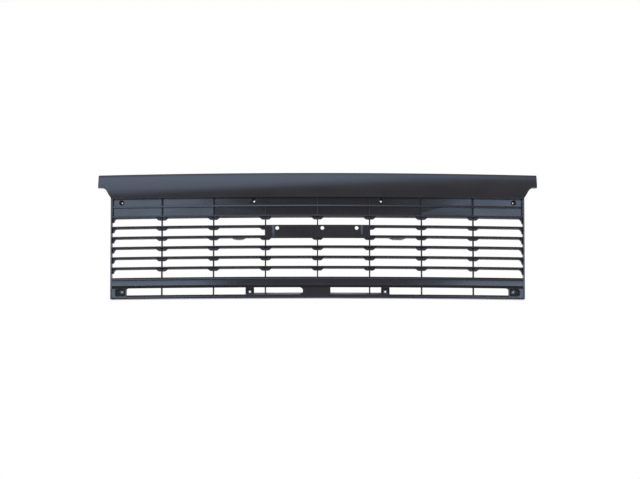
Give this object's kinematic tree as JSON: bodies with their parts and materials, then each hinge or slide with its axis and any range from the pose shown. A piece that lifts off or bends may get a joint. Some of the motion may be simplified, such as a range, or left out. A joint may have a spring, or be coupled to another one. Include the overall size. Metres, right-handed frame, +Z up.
{
  "type": "vehicle front grille",
  "caption": "Wide, low front grille of a light cab-over truck: dark moulded louvres crossed by thin upright ribs under a smooth eared top moulding.",
  "frame": {"origin": "centre of the grille's bounding box", "axes": "+X to the viewer's right across the grille, -Y toward the front that is seen, +Z up"},
  "size_m": [1.1, 0.1028, 0.314],
  "materials": {
    "moulded_gloss": "dark charcoal moulded plastic, smooth, low sheen",
    "moulded_satin": "dark charcoal moulded plastic, satin",
    "grey_plastic": "mid grey plastic, satin",
    "spring_steel": "dark phosphated spring steel, satin"
  },
  "bodies": {
    "root": {"top_moulding": "moulded_gloss", "upper_panel": "moulded_gloss", "louvre_1": "moulded_gloss", "side_cheek_left": "moulded_gloss", "side_cheek_right": "moulded_gloss", "lower_rail": "moulded_gloss", "bottom_sill": "moulded_gloss", "centre_block": "moulded_gloss", "badge_plate": "moulded_gloss", "louvre_2": "moulded_satin", "louvre_3": "moulded_satin", "louvre_4": "moulded_satin", "louvre_5": "moulded_satin", "louvre_6": "moulded_satin", "louvre_7": "moulded_satin", "mullion_1": "moulded_satin", "mullion_2": "moulded_satin", "mullion_3": "moulded_satin", "mullion_4": "moulded_satin", "mullion_5": "moulded_satin", "mullion_6": "moulded_satin", "mullion_7": "moulded_satin", "corner_pocket_left": "moulded_satin", "corner_pocket_right": "moulded_satin", "slot_bracket_left": "moulded_satin", "slot_bracket_right": "moulded_satin", "screw_cup_1": "moulded_satin", "screw_cup_2": "moulded_satin", "screw_cup_3": "moulded_satin", "screw_cup_4": "moulded_satin", "grey_tab_left": "grey_plastic", "grey_tab_right": "grey_plastic", "support_strip_left": "grey_plastic", "support_strip_right": "grey_plastic", "screw_retainer_1": "spring_steel", "screw_retainer_2": "spring_steel", "screw_retainer_3": "spring_steel", "screw_retainer_4": "spring_steel"}
  },
  "joints": []
}
